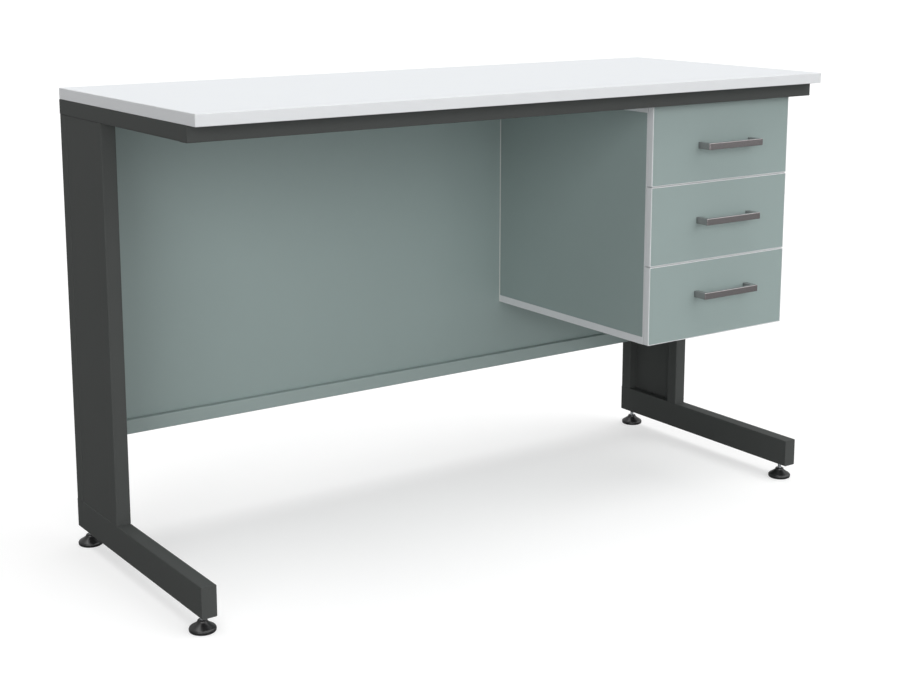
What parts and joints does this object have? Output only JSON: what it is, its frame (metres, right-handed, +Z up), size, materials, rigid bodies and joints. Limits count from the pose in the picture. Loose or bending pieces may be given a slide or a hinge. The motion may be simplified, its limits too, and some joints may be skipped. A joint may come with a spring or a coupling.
{
  "type": "writing desk with drawers",
  "caption": "Tall bench desk on cantilever steel legs with a white top, a modesty panel, levelling glides and a hanging drawer pedestal at the right.",
  "frame": {"origin": "on the floor, under the middle of the desk", "axes": "+Z up, +X along the desk towards the pedestal, -Y towards the user"},
  "size_m": [1.52, 0.6, 0.935],
  "materials": {
    "white_laminate": "white melamine-faced chipboard, fine satin texture",
    "white_edging": "white plastic edge banding, satin",
    "grey_green_laminate": "grey-green melamine-faced chipboard, fine satin texture",
    "white_board": "white melamine-faced chipboard",
    "white_hardboard": "thin hardboard with a white face",
    "dark_grey_powder_coat": "dark grey powder coat, fine texture, satin",
    "grey_green_powder_coat": "grey-green powder coat, satin",
    "zinc_plated_steel": "bright zinc plating",
    "satin_metal": "satin metal, medium grey",
    "black_plastic": "black moulded plastic, satin"
  },
  "bodies": {
    "desk": {"worktop_board": "white_laminate", "worktop_edging": "white_edging", "pedestal_edging": "white_edging", "modesty_panel": "grey_green_laminate", "pedestal_left_side": "grey_green_laminate", "pedestal_right_side": "grey_green_laminate", "pedestal_top": "grey_green_laminate", "pedestal_bottom": "grey_green_laminate", "pedestal_back": "white_hardboard", "front_beam": "dark_grey_powder_coat", "rear_beam": "dark_grey_powder_coat", "left_arm": "dark_grey_powder_coat", "right_arm": "dark_grey_powder_coat", "left_rear_post": "dark_grey_powder_coat", "left_front_post": "dark_grey_powder_coat", "right_rear_post": "dark_grey_powder_coat", "right_front_post": "dark_grey_powder_coat", "left_infill_panel": "dark_grey_powder_coat", "right_infill_panel": "dark_grey_powder_coat", "left_foot": "dark_grey_powder_coat", "right_foot": "dark_grey_powder_coat", "tube_end_caps": "dark_grey_powder_coat", "hanger_rails": "dark_grey_powder_coat", "lower_rail": "grey_green_powder_coat", "foot_inserts": "zinc_plated_steel", "frame_screws": "zinc_plated_steel", "pedestal_bolts": "zinc_plated_steel", "cabinet_runners": "zinc_plated_steel"},
    "bottom_drawer": {"bottom_drawer_front": "grey_green_laminate", "bottom_drawer_front_edging": "white_edging", "bottom_drawer_box": "white_board", "bottom_drawer_box_bottom": "white_hardboard", "bottom_drawer_handle": "satin_metal", "bottom_drawer_handle_screws": "zinc_plated_steel", "bottom_drawer_box_runners": "zinc_plated_steel"},
    "bottom_drawer_runners": {"bottom_drawer_middle_runners": "zinc_plated_steel"},
    "middle_drawer": {"middle_drawer_front": "grey_green_laminate", "middle_drawer_front_edging": "white_edging", "middle_drawer_box": "white_board", "middle_drawer_box_bottom": "white_hardboard", "middle_drawer_handle": "satin_metal", "middle_drawer_handle_screws": "zinc_plated_steel", "middle_drawer_box_runners": "zinc_plated_steel"},
    "middle_drawer_runners": {"middle_drawer_middle_runners": "zinc_plated_steel"},
    "top_drawer": {"top_drawer_front": "grey_green_laminate", "top_drawer_front_edging": "white_edging", "top_drawer_box": "white_board", "top_drawer_box_bottom": "white_hardboard", "top_drawer_handle": "satin_metal", "top_drawer_handle_screws": "zinc_plated_steel", "top_drawer_box_runners": "zinc_plated_steel"},
    "top_drawer_runners": {"top_drawer_middle_runners": "zinc_plated_steel"},
    "left_front_glide": {"left_front_glide_base": "black_plastic"},
    "left_front_glide_screw": {"left_front_glide_stud": "zinc_plated_steel"},
    "left_rear_glide": {"left_rear_glide_base": "black_plastic"},
    "left_rear_glide_screw": {"left_rear_glide_stud": "zinc_plated_steel"},
    "right_front_glide": {"right_front_glide_base": "black_plastic"},
    "right_front_glide_screw": {"right_front_glide_stud": "zinc_plated_steel"},
    "right_rear_glide": {"right_rear_glide_base": "black_plastic"},
    "right_rear_glide_screw": {"right_rear_glide_stud": "zinc_plated_steel"}
  },
  "joints": [
    {"name": "bottom_drawer_slide", "type": "slide", "parent": "desk", "child": "bottom_drawer", "axis": [0, -1, 0], "range_m": [0, 0.45]},
    {"name": "bottom_drawer_runner_slide", "type": "slide", "parent": "desk", "child": "bottom_drawer_runners", "axis": [0, -1, 0], "range_m": [0, 0.225]},
    {"name": "middle_drawer_slide", "type": "slide", "parent": "desk", "child": "middle_drawer", "axis": [0, -1, 0], "range_m": [0, 0.45]},
    {"name": "middle_drawer_runner_slide", "type": "slide", "parent": "desk", "child": "middle_drawer_runners", "axis": [0, -1, 0], "range_m": [0, 0.225]},
    {"name": "top_drawer_slide", "type": "slide", "parent": "desk", "child": "top_drawer", "axis": [0, -1, 0], "range_m": [0, 0.45]},
    {"name": "top_drawer_runner_slide", "type": "slide", "parent": "desk", "child": "top_drawer_runners", "axis": [0, -1, 0], "range_m": [0, 0.225]},
    {"name": "left_front_glide_height", "type": "slide", "parent": "desk", "child": "left_front_glide", "axis": [0, 0, 1], "range_m": [-0.015, 0.011]},
    {"name": "left_front_glide_stud_turn", "type": "hinge", "parent": "left_front_glide", "child": "left_front_glide_screw", "pos_m": [-0.735, -0.238, 0.03], "axis": [0, 0, 1], "range_deg": [-4325, 3173]},
    {"name": "left_rear_glide_height", "type": "slide", "parent": "desk", "child": "left_rear_glide", "axis": [0, 0, 1], "range_m": [-0.015, 0.011]},
    {"name": "left_rear_glide_stud_turn", "type": "hinge", "parent": "left_rear_glide", "child": "left_rear_glide_screw", "pos_m": [-0.735, 0.275, 0.03], "axis": [0, 0, 1], "range_deg": [-4325, 3173]},
    {"name": "right_front_glide_height", "type": "slide", "parent": "desk", "child": "right_front_glide", "axis": [0, 0, 1], "range_m": [-0.015, 0.011]},
    {"name": "right_front_glide_stud_turn", "type": "hinge", "parent": "right_front_glide", "child": "right_front_glide_screw", "pos_m": [0.735, -0.238, 0.03], "axis": [0, 0, 1], "range_deg": [-4325, 3173]},
    {"name": "right_rear_glide_height", "type": "slide", "parent": "desk", "child": "right_rear_glide", "axis": [0, 0, 1], "range_m": [-0.015, 0.011]},
    {"name": "right_rear_glide_stud_turn", "type": "hinge", "parent": "right_rear_glide", "child": "right_rear_glide_screw", "pos_m": [0.735, 0.275, 0.03], "axis": [0, 0, 1], "range_deg": [-4325, 3173]}
  ],
  "couplings": [
    {"joint": "bottom_drawer_runner_slide", "follows": "bottom_drawer_slide", "ratio": 0.5},
    {"joint": "middle_drawer_runner_slide", "follows": "middle_drawer_slide", "ratio": 0.5},
    {"joint": "top_drawer_runner_slide", "follows": "top_drawer_slide", "ratio": 0.5},
    {"joint": "left_front_glide_stud_turn", "follows": "left_front_glide_height", "rad_per_m": 5026.5},
    {"joint": "left_rear_glide_stud_turn", "follows": "left_rear_glide_height", "rad_per_m": 5026.5},
    {"joint": "right_front_glide_stud_turn", "follows": "right_front_glide_height", "rad_per_m": 5026.5},
    {"joint": "right_rear_glide_stud_turn", "follows": "right_rear_glide_height", "rad_per_m": 5026.5}
  ]
}
